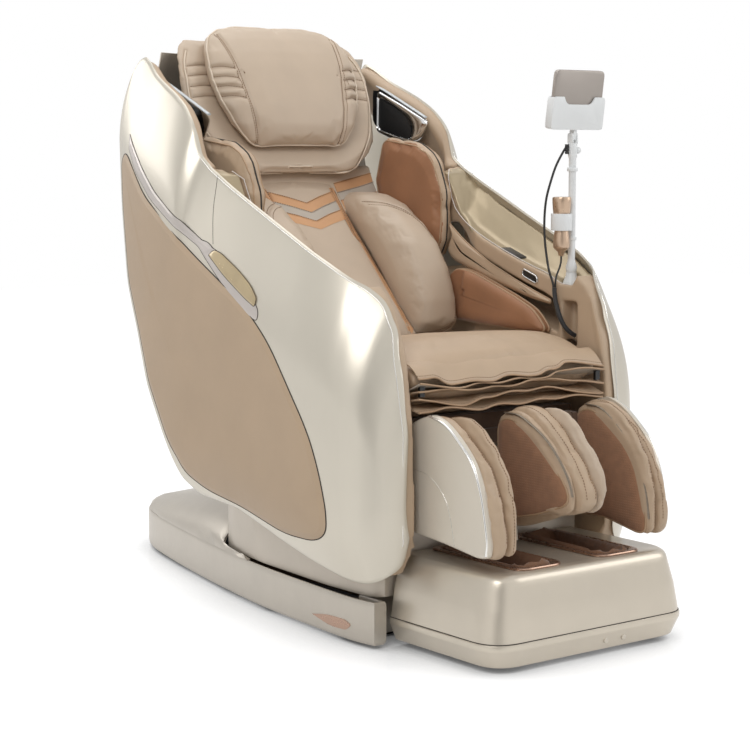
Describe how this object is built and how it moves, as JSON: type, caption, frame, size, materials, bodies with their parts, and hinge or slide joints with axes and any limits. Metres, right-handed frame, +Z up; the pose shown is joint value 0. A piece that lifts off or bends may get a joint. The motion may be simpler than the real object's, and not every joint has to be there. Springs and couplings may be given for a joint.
{
  "type": "massage chair",
  "caption": "Full-body massage chair with winged side shells, pillow, kneading unit, calf and foot massager, and a tablet stand with a heat wand on one arm.",
  "frame": {"origin": "centre of the footprint, on the floor", "axes": "+Z up; the sitter faces -Y, and the foot box is at -Y; +X is the sitter's left, the side of the tablet stand"},
  "size_m": [0.8186, 1.56, 1.266],
  "materials": {
    "champagne": "satin metallic champagne lacquer",
    "champagne_light": "satin champagne plastic",
    "tan_leather": "stitched tan leather",
    "taupe_leather": "stitched taupe leather",
    "brown_fabric": "brown mesh fabric",
    "white_plastic": "gloss white",
    "rose_gold": "rose gold lacquer",
    "steel": "dark grey paint",
    "rubber": "matt black",
    "black_gloss": "gloss black",
    "tablet_shell": "grey beige satin"
  },
  "bodies": {
    "base": {"base_skirt": "champagne_light", "rear_deck_cover": "champagne", "base_frame": "steel", "front_foot_left": "rubber", "front_foot_right": "rubber"},
    "switch": {"power_switch": "black_gloss"},
    "wheel_left": {"transport_wheel_left": "rubber"},
    "wheel_right": {"transport_wheel_right": "rubber"},
    "carriage": {"side_shell_left": "champagne", "side_shell_right": "champagne", "side_panel_left": "tan_leather", "side_panel_right": "tan_leather", "arm_liner_left": "tan_leather", "arm_liner_right": "tan_leather", "speaker_housing_left": "black_gloss", "speaker_housing_right": "black_gloss", "hand_pad_upper_left": "taupe_leather", "hand_pad_upper_right": "taupe_leather", "hand_pad_lower_left": "brown_fabric", "hand_pad_lower_right": "brown_fabric", "lower_cover": "champagne_light", "seat_frame": "steel", "seat_cushion": "taupe_leather", "seat_apron": "taupe_leather", "stand_socket": "white_plastic", "cord_bundle": "black_gloss"},
    "key_left": {"quick_key_left": "black_gloss"},
    "key_right": {"quick_key_right": "black_gloss"},
    "stand": {"stand_post": "white_plastic", "tablet_cord": "black_gloss", "wand_cord": "black_gloss"},
    "holder": {"tablet_holder": "white_plastic"},
    "tablet": {"tablet": "tablet_shell"},
    "wand": {"wand": "rose_gold"},
    "backrest": {"back_frame": "steel", "back_shell": "champagne", "back_cushion": "taupe_leather", "lumbar_cushion_left": "taupe_leather", "lumbar_cushion_right": "taupe_leather", "head_pad": "taupe_leather", "shoulder_pad_left": "brown_fabric", "shoulder_pad_right": "brown_fabric"},
    "pillow": {"pillow": "taupe_leather"},
    "massage_unit": {"massage_carriage": "steel"},
    "kneader": {"kneading_shaft": "white_plastic"},
    "leg_rest": {"calf_frame": "steel", "calf_plate_left": "champagne_light", "calf_plate_right": "champagne_light", "calf_side_pad_left": "tan_leather", "calf_side_pad_right": "tan_leather", "calf_airbag_outer_left": "tan_leather", "calf_airbag_outer_right": "tan_leather", "calf_airbag_inner_left": "brown_fabric", "calf_airbag_inner_right": "brown_fabric", "calf_divider": "tan_leather", "calf_back_pad": "taupe_leather"},
    "foot_unit": {"foot_box": "champagne", "foot_well_left": "rose_gold", "foot_well_right": "rose_gold"},
    "foot_rollers": {"foot_roller_shaft": "white_plastic"}
  },
  "joints": [
    {"name": "power_switch_rock", "type": "hinge", "parent": "base", "child": "switch", "pos_m": [0.016, 0.769, 0.05], "axis": [1, 0, 0], "range_deg": [-5, 5]},
    {"name": "wheel_left_roll", "type": "hinge", "parent": "base", "child": "wheel_left", "pos_m": [0.11, 0.59, 0.026], "axis": [1, 0, 0], "continuous": true},
    {"name": "wheel_right_roll", "type": "hinge", "parent": "base", "child": "wheel_right", "pos_m": [-0.11, 0.59, 0.026], "axis": [1, 0, 0], "continuous": true},
    {"name": "body_slide", "type": "slide", "parent": "base", "child": "carriage", "axis": [0, -1, 0], "range_m": [0, 0.12]},
    {"name": "back_recline", "type": "hinge", "parent": "carriage", "child": "backrest", "pos_m": [0, 0, 0.45], "axis": [-1, 0, 0], "range_deg": [0, 38]},
    {"name": "leg_lift", "type": "hinge", "parent": "carriage", "child": "leg_rest", "pos_m": [0, -0.52, 0.43], "axis": [-1, 0, 0], "range_deg": [0, 58], "deforming": ["seat_apron"]},
    {"name": "foot_extend", "type": "slide", "parent": "leg_rest", "child": "foot_unit", "axis": [0, 0, -1], "range_m": [0, 0.1]},
    {"name": "pillow_flip", "type": "hinge", "parent": "backrest", "child": "pillow", "pos_m": [0, 0.36, 1.262], "axis": [-1, 0, 0], "range_deg": [0, 120]},
    {"name": "massage_travel", "type": "slide", "parent": "backrest", "child": "massage_unit", "axis": [0, 0.7108, 0.7034], "range_m": [-0.04, 0.11]},
    {"name": "kneading_spin", "type": "hinge", "parent": "massage_unit", "child": "kneader", "pos_m": [0, 0.16429, 0.74821], "axis": [1, 0, 0], "continuous": true},
    {"name": "foot_roller_spin", "type": "hinge", "parent": "foot_unit", "child": "foot_rollers", "pos_m": [0, -0.61, 0.06], "axis": [1, 0, 0], "continuous": true},
    {"name": "quick_key_left_press", "type": "slide", "parent": "carriage", "child": "key_left", "axis": [1, 0, 0], "range_m": [0, 0.0015], "stiffness_N_per_m": 600},
    {"name": "quick_key_right_press", "type": "slide", "parent": "carriage", "child": "key_right", "axis": [-1, 0, 0], "range_m": [0, 0.0015], "stiffness_N_per_m": 600},
    {"name": "stand_swivel", "type": "hinge", "parent": "carriage", "child": "stand", "pos_m": [0.305, -0.37, 0.72], "axis": [0, 0, 1], "range_deg": [-30, 30], "deforming": ["cord_bundle"]},
    {"name": "tablet_tilt", "type": "hinge", "parent": "stand", "child": "holder", "pos_m": [0.305, -0.37, 1.012], "axis": [1, 0, 0], "range_deg": [-12, 20]},
    {"name": "tablet_lift", "type": "slide", "parent": "holder", "child": "tablet", "axis": [0, -0.1392, 0.9903], "range_m": [0, 0.11]},
    {"name": "wand_lift", "type": "slide", "parent": "stand", "child": "wand", "axis": [0, 0, 1], "range_m": [0, 0.045], "deforming": ["wand_cord"]}
  ]
}
